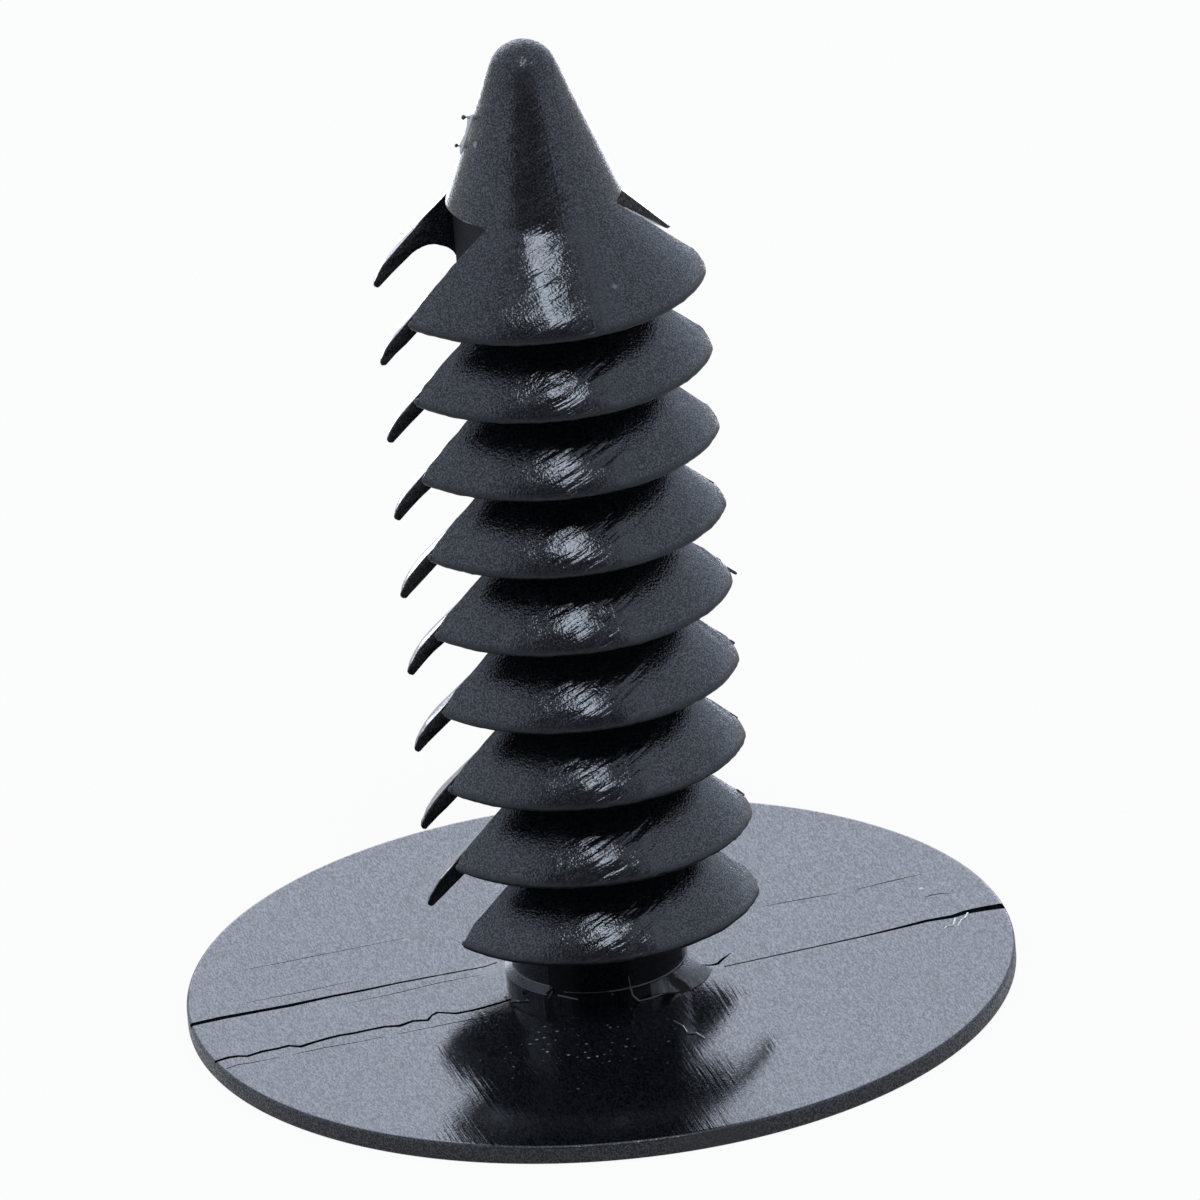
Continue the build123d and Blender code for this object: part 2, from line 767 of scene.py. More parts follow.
    def build(self) -> bpy.types.Object:
        """Models the lowest fin, copies it up the stem and adds the top fin.

        Returns:
            The whole row as one object, in millimetres.
        """
        fins = [self.build_fin()]
        for number in range(1, self.count - 1):
            fins.append(copy_of(fins[0], f"fin_{number}"))
        fins.append(self.build_fin(blended=True))
        for number, fin in enumerate(fins):
            edit(fin)
            bpy.ops.mesh.select_all(action="SELECT")
            bpy.ops.transform.translate(value=(0, 0, number * FIN_PITCH))
            bpy.ops.object.mode_set(mode="OBJECT")
        if self.side is Side.REAR:
            slice_off(fins[-1], self.top_rear_cut, self.top_rear_cut_normal)
        row = join(fins, f"fins_{self.side.name.lower()}")
        self.roughen(row)
        return row

    def roughen(self, row: bpy.types.Object) -> None:
        """Leaves the rims and the cut ends slightly ragged, as they came out of the mould.

        Args:
            row: The whole row of fins.
        """
        ragged = row.vertex_groups.new(name="ragged")
        for point in row.data.vertices:
            radius = math.hypot(point.co.x, point.co.y)
            at_end = abs(point.co.y) < BAND_HALF_WIDTH + self.ragged_end_width
            if at_end and radius > self.ragged_end_start:
                ragged.add([point.index], 1.0, "REPLACE")
            elif radius > self.rim_radius - self.ragged_rim_width:
                ragged.add([point.index], self.ragged_rim_share, "REPLACE")
        noise = bpy.data.textures.new(f"ragged_{self.side.name.lower()}", "CLOUDS")
        noise.noise_scale = self.ragged_size
        noise.noise_depth = 2
        displace = row.modifiers.new("Ragged", "DISPLACE")
        displace.texture = noise
        displace.texture_coords = "LOCAL"
        displace.vertex_group = ragged.name
        displace.strength = self.ragged_depth
        apply_modifier(row, displace)


@dataclass(frozen=True)
class Nodes:
    """The nodes of a material or of the room, with short ways to add to them."""

    tree: bpy.types.NodeTree

    def add(self, kind: str, inputs: dict[str | int, Value] | None = None, **options: str) -> bpy.types.Node:
        """Adds a node, chooses its options and fills its inputs.

        Args:
            kind: The node's type, without the word ShaderNode in front of it.
            inputs: Plain values and other nodes' results, by the input's name or number.
            **options: The node's own options, such as its operation.

        Returns:
            The node.
        """
        node = self.tree.nodes.new(f"ShaderNode{kind}")
        for name, option in options.items():
            setattr(node, name, option)
        self.fill(node, inputs or {})
        return node

    def fill(self, node: bpy.types.Node, inputs: dict[str | int, Value]) -> None:
        """Fills a node's inputs.

        Args:
            node: The node.
            inputs: Plain values and other nodes' results, by the input's name or number.
        """
        for key, value in inputs.items():
            if isinstance(value, Socket):
                self.tree.links.new(value, node.inputs[key])
            else:
                node.inputs[key].default_value = value

    def calc(self, operation: str, *values: Value) -> Socket:
        """Works out one sum of plain values and results."""
        return self.add("Math", dict(enumerate(values)), operation=operation).outputs[0]

    def product(self, *factors: Value) -> Socket:
        """Multiplies two or more values."""
        return reduce(lambda first, second: self.calc("MULTIPLY", first, second), factors)

    def off(self, value: Socket, middle: float) -> Socket:
        """The distance of a value from a middle one."""
        return self.calc("ABSOLUTE", self.calc("SUBTRACT", value, middle))

    def ramp(self, value: Socket, span: Pair, result: Pair = (0, 1), kind: str = "LINEAR") -> Socket:
        """Maps a value from one span onto another, and holds it at the ends."""
        inputs = dict(zip(("Value", "From Min", "From Max", "To Min", "To Max"), (value, *span, *result)))
        return self.add("MapRange", inputs, interpolation_type=kind).outputs["Result"]

    def blend(self, share: Socket, first: Value, second: Value) -> Socket:
        """Blends from one value to another by a share."""
        return self.add("Mix", {0: share, 2: first, 3: second}).outputs[0]

    def tint(self, share: Socket, first: Value, second: Value) -> Socket:
        """Blends from one colour, given as (red, green, blue, 1), to another by a share."""
        return self.add("Mix", {0: share, 6: first, 7: second}, data_type="RGBA").outputs[2]

    def relief(self, *patterns: tuple[Socket, float]) -> Socket:
        """Adds up patterns, each raised by its own height.

        Args:
            *patterns: Each pattern's value and its height in millimetres.

        Returns:
            The height of the surface.
        """
        total: Value = 0.0
        for pattern, height in patterns:
            total = self.calc("MULTIPLY_ADD", pattern, height, total)
        return total

    def placed(self, vector: Socket, stretch: Triple, turn: Triple = (0, 0, 0)) -> Socket:
        """Stretches coordinates by a factor on each axis and then turns them."""
        return self.add("Mapping", {"Vector": vector, "Scale": stretch, "Rotation": turn}).outputs[0]


@dataclass(frozen=True)
class Pattern:
    """A noise pattern, turned by degrees round the axes and then stretched along them."""

    scale: float
    detail: float
    stretch: Triple = (1, 1, 1)
    turn: Triple = (0, 0, 0)

    def add_to(self, nodes: Nodes, place: Socket) -> Socket:
        """Adds the pattern's nodes.

        Args:
            nodes: The material's nodes.
            place: The place on the clip in millimetres.

        Returns:
            The pattern's value, from 0 to 1.
        """
        turned = nodes.placed(place, (1, 1, 1), tuple(math.radians(angle) for angle in self.turn))
        inputs = {"Scale": self.scale, "Detail": self.detail, "Vector": nodes.placed(turned, self.stretch)}
        return nodes.add("TexNoise", inputs).outputs["Fac"]


@dataclass(frozen=True)
class PaleSpot:
    """A small pale mark on the plastic, such as a speck of dust, a thin film of flash or a painted highlight.
    """

    place: Triple
    radius: float
    strength: float = 1.0
    softness: float = 0.35

    def add_to(self, nodes: Nodes, place: Socket) -> Socket:
        """Adds the spot's nodes.

        Args:
            nodes: The material's nodes.
            place: The place on the clip in millimetres.

        Returns:
            The spot's strength at its middle, falling to 0 outside it.
        """
        distance = nodes.add("VectorMath", {0: place, 1: self.place}, operation="DISTANCE").outputs["Value"]
        span = (self.radius * (1 + self.softness), self.radius * (1 - self.softness))
        return nodes.ramp(distance, span, (0, self.strength))


@dataclass(frozen=True)
class Zones:
    """Where a point lies on the clip, and how much it belongs to each area with a finish of its own."""

    place: Socket
    x: Socket
    z: Socket
    on_head: Socket
    at_rear: Socket
    on_flat: Socket
    at_edge: Socket
    past_root: Socket
    beside_shine: Socket
    evened: Socket


@dataclass(frozen=True)
class MouldedNylon:
    """Black nylon as it leaves the mould: finely grained and streaked on the stem, glossy on the head.

    Places are in millimetres. A pair of places is where a change of finish begins and ends.
    """

    # Colours and gloss
    colour: Triple = (0.0018, 0.0022, 0.0030)
    worn_colour: Triple = (0.0130, 0.0150, 0.0210)
    # The pale colour serves dust and pale spots, and also the painted light on thin pieces and beside the
    # pad.
    pale: Triple = (0.85, 0.87, 0.90)
    ior: float = 1.5
    gloss: float = 0.40

    # Patterns, and the span of their values over which the finish changes
    grain: Pattern = Pattern(14.0, 1.5)
    speck: Pattern = Pattern(18.0, 1.0)
    wisps: Pattern = Pattern(1.5, 2.0, (0.5, 0.5, 4.2), (0, 20, 0))
    lumps: Pattern = Pattern(0.9, 1.0, (0.8, 0.8, 2.0), (0, 20, 0))
    brush: Pattern = Pattern(1.0, 2.0, (9, 0.45, 1), (0, 0, 3))
    hatch: Pattern = Pattern(1.0, 0.5, (32, 7, 1), (0, 0, 3))
    wave: Pattern = Pattern(0.3, 1.0)
    speck_span: Pair = (0.43, 0.61)
    hatch_span: Pair = (0.36, 0.66)
    wear_span: Pair = (0.35, 0.7)
    wisps_span: Pair = (0.35, 0.65)
    wave_span: Pair = (0.3, 0.7)

    # Where each area begins and ends
    head_height: Pair = (1.0, 0.8)
    head_wall: Pair = (12.45, 12.42)
    rear_depth: Pair = (0.5, 1.5)
    flat_skin: Pair = (0.03, 0.015)
    flat_band: Pair = (1.69, 1.67)
    flat_end: Pair = (26.12, 26.1)
    fin_edge: Pair = (4.93, 5.01)
    lowest_edge: Pair = (1.5, 2.0)
    fin_root: Pair = (3.5, 4.1)
    rootless: Pair = (23.2, 23.7)
    shine_middle: float = -0.4
    shine_edge: Pair = (0.8, 1.7)
    shine_top: Pair = (26.0, 26.6)

    # Wear, and the weight of the glossy film
    stem_wear: float = 0.8
    stem_film: Pair = (0.0, 1.0)
    head_film: Pair = (0.05, 0.68)
    root_share: float = 0.2
    even_film: float = 0.4
    even_share: float = 0.6
    film_roughness: float = 0.12

    # Roughness
    stem_roughness: Pair = (0.10, 0.22)
    head_roughness: Pair = (0.07, 0.12)
    flat_roughness: float = 0.85
    edge_roughness: float = 0.4
    tip: Pair = (29.6, 30.4)
    tip_roughness: float = 0.35
    rim: Pair = (0.62, 0.6)
    rim_roughness: float = 0.3

    # Height of the relief, and the share of it that is left in some areas
    stem_grain: float = 0.014
    grain_loss: float = 0.7
    stem_brush: float = 0.036
    stem_lump: float = 0.06
    streak_share: float = 0.15
    deep_share: float = 1.3
    deep_top: Pair = (22.5, 24.0)
    neck_share: float = 0.1
    neck_top: Pair = (2.6, 3.0)
    rear_share: float = 0.06
    seam_middle: float = 0.1
    seam_width: Pair = (0.06, 0.0)
    seam_foot: Pair = (0.7, 0.8)
    stem_seam: float = 0.0025
    head_grain: float = 0.002
    head_brush: float = 0.007
    head_wave: float = 0.012

    # Dust and pale spots, one of which is a painted highlight
    dusty: PaleSpot = PaleSpot((-2.6, -4.6, HEAD_TOP), 2.1, softness=0.9)
    dust_cells: float = 4.0
    dust_size_span: Pair = (0.3, 1.0)
    dust_sizes: Pair = (0.09, 0.27)
    dust_edge: Pair = (1.0, 0.5)
    dust_choice: Pair = (0.62, 1.0)
    dust_strength: float = 0.6
    dust_patches: Pattern = Pattern(1.1, 1.0)
    dust_patch_span: Pair = (0.44, 0.58)
    spots: tuple[PaleSpot, ...] = (
        PaleSpot((-1.78, -0.36, 28.32), 0.09, 0.28),
        PaleSpot((1.07, -4.07, 24.5), 0.09, 0.18),
        PaleSpot((10.57, 1.12, HEAD_TOP), 0.07, 0.6),
        PaleSpot((-0.46, -2.66, 1.0), 0.05, 0.5),
        # A painted highlight: the broad pale patch on the head, left of the pad.
        PaleSpot((-2.90, 1.75, HEAD_TOP), 0.60, 0.16),
        PaleSpot((-4.43, 2.05, HEAD_TOP), 0.12, 0.25),
        PaleSpot((-4.56, 5.02, HEAD_TOP), 0.10, 0.25),
        PaleSpot((-0.86, 7.40, HEAD_TOP), 0.10, 0.25),
    )

    def build(self) -> bpy.types.Material:
        """Makes the material's nodes.

        Returns:
            The material, whose patterns follow Object coordinates.
        """
        material = bpy.data.materials.new("black_nylon")
        material.use_nodes = True
        nodes = Nodes(material.node_tree)
        zones = self._zones(nodes)
        patterns = (self.grain, self.speck, self.wisps, self.lumps, self.brush, self.hatch, self.wave)
        grain, speck, wisps, lumps, brush, hatch, wave = (
            pattern.add_to(nodes, zones.place) for pattern in patterns
        )
        stem_relief = self._stem_relief(nodes, zones, grain, wisps, lumps)
        head_relief = nodes.relief((grain, self.head_grain), (brush, self.head_brush), (wave, self.head_wave))
        height = nodes.blend(zones.on_head, stem_relief, head_relief)
        bump = nodes.add("Bump", {"Strength": 1.0, "Distance": MM, "Height": height}).outputs[0]
        inputs = {
            "Base Color": self._colour(nodes, zones, speck, hatch),
            "Roughness": self._roughness(nodes, zones, wisps, wave),
            "IOR": self.ior,
            "Specular IOR Level": self.gloss,
            "Coat Weight": self._film(nodes, zones, speck, hatch),
            "Coat Roughness": self.film_roughness,
            "Normal": bump,
            "Coat Normal": bump,
        }
        nodes.fill(material.node_tree.nodes["Principled BSDF"], inputs)
        return material

    def _zones(self, nodes: Nodes) -> Zones:
        """Works out where a point lies and which areas it belongs to.

        Args:
            nodes: The material's nodes.

        Returns:
            The point's place and its areas.
        """
        place = nodes.placed(nodes.add("TexCoord").outputs["Object"], (1 / MM, 1 / MM, 1 / MM))
        x, y, z = nodes.add("SeparateXYZ", {0: place}).outputs
        level = nodes.add("VectorMath", {0: place, 1: (1, 1, 0)}, operation="MULTIPLY").outputs[0]
        radius = nodes.add("VectorMath", {0: level}, operation="LENGTH").outputs["Value"]
        off_flat = nodes.off(nodes.calc("ABSOLUTE", x), FLAT_DISTANCE)
        in_skin = nodes.ramp(off_flat, self.flat_skin)
        in_band = nodes.ramp(nodes.calc("ABSOLUTE", y), self.flat_band)
        beside_shine = nodes.off(x, self.shine_middle)
        past_root = nodes.ramp(radius, self.fin_root, (self.root_share, 1))
        return Zones(
            place=place,
            x=x,
            z=z,
            on_head=nodes.product(nodes.ramp(z, self.head_height), nodes.ramp(radius, self.head_wall)),
            at_rear=nodes.ramp(y, self.rear_depth, (1, self.rear_share)),
            on_flat=nodes.product(in_skin, in_band, nodes.ramp(z, self.flat_end)),
            at_edge=nodes.product(nodes.ramp(radius, self.fin_edge), nodes.ramp(z, self.lowest_edge)),
            past_root=nodes.calc("MAXIMUM", past_root, nodes.ramp(z, self.rootless)),
            beside_shine=beside_shine,
            evened=nodes.product(
                nodes.ramp(beside_shine, self.shine_edge, (self.even_share, 0)),
                nodes.ramp(z, self.shine_top, (1, 0)),
            ),
        )

    def _film(self, nodes: Nodes, zones: Zones, speck: Socket, hatch: Socket) -> Socket:
        """Makes the thin glossy film, which specks break up on the stem and a hatch on the head.

        Args:
            nodes: The material's nodes.
            zones: The point's areas.
            speck: The pattern of specks.
            hatch: The hatch along the head.

        Returns:
            The film's weight.
        """
        film = nodes.ramp(speck, self.speck_span, self.stem_film)
        missing = nodes.calc("SUBTRACT", self.even_film, film)
        film = nodes.calc("MULTIPLY_ADD", missing, zones.evened, film)
        bare = nodes.calc("MAXIMUM", zones.on_flat, zones.at_edge)
        film = nodes.product(film, nodes.calc("SUBTRACT", 1.0, bare), zones.past_root)
        return nodes.blend(zones.on_head, film, nodes.ramp(hatch, self.hatch_span, self.head_film))

    def _roughness(self, nodes: Nodes, zones: Zones, wisps: Socket, wave: Socket) -> Socket:
        """Makes the roughness, with duller flats, fin edges, tip and rim.

        Args:
            nodes: The material's nodes.
            zones: The point's areas.
            wisps: The stem's streaks.
            wave: The head's slow waves.

        Returns:
            The roughness.
        """
        tip = nodes.ramp(zones.z, self.tip, (0, self.tip_roughness))
        rim = nodes.ramp(zones.z, self.rim, (0, self.rim_roughness))
        streaks = nodes.ramp(wisps, self.wisps_span, self.stem_roughness)
        rough = nodes.calc("ADD", nodes.calc("ADD", streaks, tip), rim)
        rough = nodes.calc("MAXIMUM", rough, nodes.product(zones.on_flat, self.flat_roughness))
        rough = nodes.calc("MAXIMUM", rough, nodes.product(zones.at_edge, self.edge_roughness))
        return nodes.blend(zones.on_head, rough, nodes.ramp(wave, self.wave_span, self.head_roughness))

    def _stem_relief(
        self, nodes: Nodes, zones: Zones, grain: Socket, wisps: Socket, lumps: Socket
    ) -> Socket:
        """Raises the stem's grain, its streaks, which are deepest in the shine, and the mould's seam.

        Args:
            nodes: The material's nodes.
            zones: The point's areas.
            grain: The fine grain.
            wisps: The narrow streaks.
            lumps: The broad streaks.

        Returns:
            The relief in millimetres.
        """
        in_shine = nodes.ramp(zones.beside_shine, self.shine_edge, (1, self.streak_share))
        deeper = nodes.product(
            nodes.ramp(zones.z, self.deep_top, (self.deep_share, 1)),
            nodes.ramp(zones.z, self.neck_top, (self.neck_share, 1)),
        )
        streaky = nodes.product(in_shine, deeper, zones.past_root)
        streaks = nodes.relief((wisps, self.stem_brush), (lumps, self.stem_lump))
        kept = nodes.calc("SUBTRACT", 1.0, nodes.product(zones.evened, self.grain_loss))
        fine = nodes.product(grain, self.stem_grain, kept)
        relief = nodes.calc("MULTIPLY_ADD", streaks, streaky, fine)
        seam = nodes.ramp(nodes.off(zones.x, self.seam_middle), self.seam_width, (0, self.stem_seam))
        seam = nodes.product(seam, nodes.ramp(zones.z, self.seam_foot))
        return nodes.product(nodes.calc("ADD", relief, seam), zones.at_rear)

    def _colour(self, nodes: Nodes, zones: Zones, speck: Socket, hatch: Socket) -> Socket:
        """Colours the plastic black, with fine wear, dust on the head and a few pale spots, and paints light:
        a painted highlight on the head left of the pad, and the pale marks on thin pieces.

        Args:
            nodes: The material's nodes.
            zones: The point's areas.
            speck: The pattern of the stem's wear.
            hatch: The pattern of the head's wear.

        Returns:
            The colour.
        """
        stem_worn = nodes.ramp(speck, self.speck_span, (0, self.stem_wear))
        worn = nodes.blend(zones.on_head, stem_worn, nodes.ramp(hatch, self.wear_span))
        inputs = {"Scale": self.dust_cells, "Vector": zones.place}
        cells = nodes.add("TexVoronoi", inputs, voronoi_dimensions="2D")
        red, green, _ = nodes.add("SeparateColor", {0: cells.outputs["Color"]}).outputs
        size = nodes.ramp(green, self.dust_size_span, self.dust_sizes)
        dot = nodes.ramp(nodes.calc("DIVIDE", cells.outputs["Distance"], size), self.dust_edge)
        chosen = nodes.ramp(red, self.dust_choice, (0, self.dust_strength))
        patchy = nodes.ramp(self.dust_patches.add_to(nodes, zones.place), self.dust_patch_span)
        near = self.dusty.add_to(nodes, zones.place)
        share = nodes.product(dot, patchy, zones.on_head, chosen, near)
        for spot in self.spots:
            share = nodes.calc("MAXIMUM", share, spot.add_to(nodes, zones.place))
        # Pale marks on thin pieces: painted light, for light through thin flash and highlights along thin
        # lines and edges.
        painted_light_marks = nodes.add("Attribute", attribute_name="pale")
        share = nodes.calc("MAXIMUM", share, painted_light_marks.outputs["Fac"])
        plastic = nodes.tint(worn, (*self.colour, 1), (*self.worn_colour, 1))
        return nodes.tint(share, plastic, (*self.pale, 1))


@dataclass(frozen=True)
class PaleFloor:
    """The plain white floor that the clip stands on."""

    colour: float = 0.95
    roughness: float = 0.9
    half_size: float = 0.6
    gap: float = 0.00001
    glow: float = 0.93

    def build(self) -> bpy.types.Object:
        """Lays the floor just under the clip.

        Returns:
            The floor.
        """
        deselect_all()
        bpy.ops.mesh.primitive_plane_add(size=2 * self.half_size, location=(0, 0, -self.gap))
        floor = bpy.context.object
        floor.name = "floor"
        floor.data.materials.append(self._material())
        return floor

    def _material(self) -> bpy.types.Material:
        """Makes a dull white that the camera sees almost without shade.

        Returns:
            The floor's material.
        """
        material = bpy.data.materials.new("floor_white")
        material.use_nodes = True
        nodes = Nodes(material.node_tree)
        shader = material.node_tree.nodes["Principled BSDF"]
        white = (self.colour, self.colour, self.colour, 1)
        nodes.fill(shader, {"Base Color": white, "Roughness": self.roughness, "Specular IOR Level": 0.0})
        glow = nodes.add("Emission", {"Strength": 1.0}).outputs[0]
        share = nodes.product(nodes.add("LightPath").outputs["Is Camera Ray"], self.glow)
        mix = nodes.add("MixShader", {0: share, 1: shader.outputs[0], 2: glow}).outputs[0]
        nodes.fill(material.node_tree.nodes["Material Output"], {"Surface": mix})
        return material


def direction(azimuth: float, elevation: float) -> Vector:
    """The unit vector from the clip towards a place round it.

    Args:
        azimuth: Degrees round the clip, where 0 is in front, on -Y, and 90 is on +X.
        elevation: Degrees above the horizon.

    Returns:
        The unit vector.
    """
    turn, rise = math.radians(azimuth), math.radians(elevation)
    return Vector((math.sin(turn) * math.cos(rise), -math.cos(turn) * math.cos(rise), math.sin(rise)))


@dataclass(frozen=True)
class SoftBox:
    """A soft light, placed by its direction from a point on the clip's axis. Lengths are in metres."""

    name: str
    azimuth: float
    elevation: float
    distance: float
    width: float
    height: float
    radiance: float
    aim: float = 0.012
    tint: Triple = (0.90, 0.95, 1.09)

    def build(self, lit: bpy.types.Collection | None = None) -> bpy.types.Object:
        """Hangs the light and turns it to the clip.

        Args:
            lit: The pieces that it lights, or nothing where it lights the floor too.

        Returns:
            The light.
        """
        away = direction(self.azimuth, self.elevation)
        data = bpy.data.lights.new(self.name, "AREA")
        data.shape = "RECTANGLE"
        data.size = self.width
        data.size_y = self.height
        data.energy = self.radiance * math.pi * self.width * self.height
        data.color = self.tint
        light = bpy.data.objects.new(self.name, data)
        bpy.context.scene.collection.objects.link(light)
        light.location = Vector((0, 0, self.aim)) + away * self.distance
        light.rotation_euler = away.to_track_quat("Z", "Y").to_euler()
        light.visible_camera = False
        if lit is not None:
            light.light_linking.receiver_collection = lit
        log.info("light %s", self.name)
        return light


@dataclass(frozen=True)
class Lamps:
    """Two low panels behind the clip, which light only the clip, and a soft box overhead."""

    panels: tuple[SoftBox, ...] = (
        SoftBox("back_panel", 163.8, 0, 0.05, 0.058, 0.056, radiance=1.13, aim=0.041),
        SoftBox("back_strip", 163.8, 0, 0.05, 0.058, 0.012, radiance=2.6, aim=0.0065),
    )
    overhead: SoftBox = SoftBox(
        "overhead_box", -12.0, 63, 0.9, 0.30, 0.34, radiance=8.0, tint=(0.86, 0.97, 1.13)
    )

    def build(self, clip: bpy.types.Object) -> None:
        """Hangs the lamps.

        Args:
            clip: The finished clip.
        """
        lit = bpy.data.collections.new("lit_by_panels")
        lit.objects.link(clip)
        for panel in self.panels:
            panel.build(lit)
        self.overhead.build()


@dataclass(frozen=True)
class DarkSide:
    """A dim part of the room round one direction, dimmest inside its core and gone past its rim."""

    azimuth: float
    elevation: float
    core: float
    rim: float
    level: float

    def add_to(self, nodes: Nodes, way: Socket) -> Socket:
        """Adds the dim part's nodes.

        Args:
            nodes: The room's nodes.
            way: The direction in which the room is seen.

        Returns:
            The share of the room's light that is left there.
        """
        inputs = {0: way, 1: direction(self.azimuth, self.elevation)}
        facing = nodes.add("VectorMath", inputs, operation="DOT_PRODUCT").outputs["Value"]
        span = (math.cos(math.radians(self.rim)), math.cos(math.radians(self.core)))
        return nodes.ramp(facing, span, (1.0, self.level), "SMOOTHSTEP")


@dataclass(frozen=True)
class WhiteRoom:
    """The white room round the clip, dim on the camera's side and round the lamp overhead."""

    diffuse_level: float = 0.4
    gloss_tint: Triple = (0.82, 0.93, 1.14)
    warm_tint: Triple = (0.92, 0.96, 1.08)
    dark_sides: tuple[DarkSide, ...] = (
        DarkSide(-16.5, 22.0, 24.0, 44.0, 0.2),
        DarkSide(-14.0, 63.0, 18.0, 28.0, 0.2),
    )

    def build(self) -> bpy.types.World:
        """Sets the world's nodes.

        Returns:
            The scene's world.
        """
        world = bpy.data.worlds.new("white_room")
        bpy.context.scene.world = world
        world.use_nodes = True
        world.node_tree.nodes.clear()
        nodes = Nodes(world.node_tree)
        white = (1, 1, 1, 1)
        way = nodes.add("TexCoord").outputs["Generated"]
        level = nodes.product(*(side.add_to(nodes, way) for side in self.dark_sides))
        tinted = nodes.tint(level, (*self.warm_tint, 1), (*self.gloss_tint, 1))
        seen = nodes.add("Background", {"Color": white, "Strength": 1.0}).outputs[0]
        lit = nodes.add("Background", {"Color": white, "Strength": self.diffuse_level}).outputs[0]
        gloss = nodes.add("Background", {"Color": tinted, "Strength": level}).outputs[0]
        ray = nodes.add("LightPath").outputs
        indirect = nodes.add("MixShader", {0: ray["Is Glossy Ray"], 1: lit, 2: gloss}).outputs[0]
        final = nodes.add("MixShader", {0: ray["Is Camera Ray"], 1: indirect, 2: seen}).outputs[0]
        nodes.add("OutputWorld", {"Surface": final})
        return world


@dataclass(frozen=True)
class PhotoCamera:
    """The camera at the photo's angle, far away behind a long lens.

    The origin is the pixel of the photo where the middle of the head's outer face lies.
    """

    azimuth: float = -16.2
    elevation: float = 23.95
    roll: float = -4.93
    origin: Pair = (602.2, 989.3)
    pixels_per_mm: float = 33.25
    distance: float = 1.6
    sensor: float = 36.0

    def build(self) -> bpy.types.Object:
        """Places the camera so that the clip falls where it is in the photo.

        Returns:
            The scene's camera.
        """
        back = direction(self.azimuth, self.elevation)
        across = Vector((0, 0, 1)).cross(back).normalized()
        upward = back.cross(across)
        turn = math.radians(self.roll)
        right = across * math.cos(turn) + upward * math.sin(turn)
        up = upward * math.cos(turn) - across * math.sin(turn)
        half = PHOTO_SIZE / 2
        aim = (right * (half - self.origin[0]) + up * (self.origin[1] - half)) * (MM / self.pixels_per_mm)
        data = bpy.data.cameras.new("photo_camera")
        data.sensor_width = self.sensor
        data.lens = self.sensor * self.distance * self.pixels_per_mm / (PHOTO_SIZE * MM)
        data.clip_start, data.clip_end = 0.1, 10
        camera = bpy.data.objects.new("photo_camera", data)
        bpy.context.scene.collection.objects.link(camera)
        axes = Matrix((right, up, back)).transposed().to_4x4()
        camera.matrix_world = Matrix.Translation(aim + back * self.distance) @ axes
        bpy.context.scene.camera = camera
        return camera


@dataclass
class RatchetClip:
    """The whole clip: head, foot, stem and two rows of fins with what hangs on them, in one moulding."""

    head: Head
    foot: Foot
    stem: Stem
    rows: list[FinRow]
    slivers: list[Sliver | Flake]
    finish: MouldedNylon
    smooth_angle: float = 32.0

    def build(self) -> bpy.types.Object:
        """Models the parts, joins them into one piece and dresses it.

        Returns:
            The finished clip in metres, riding on the root body.
        """
        parts = []
        for maker in (self.head, self.foot, self.stem, *self.rows, *self.slivers):
            part = maker.build()
            log.info("%s of %d faces", part.name, len(part.data.polygons))
            parts.append(part)
        clip = join(parts, "clip")
        bpy.ops.object.shade_smooth_by_angle(angle=math.radians(self.smooth_angle))
        even = clip.modifiers.new("Even shading", "WEIGHTED_NORMAL")
        even.keep_sharp = True
        apply_modifier(clip, even)
        clip.scale = (MM, MM, MM)
        bpy.ops.object.transform_apply(location=True, rotation=True, scale=True)
        clip.data.materials.clear()
        clip.data.materials.append(self.finish.build())
        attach(clip, "root")
        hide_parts("clip_body")
        return clip


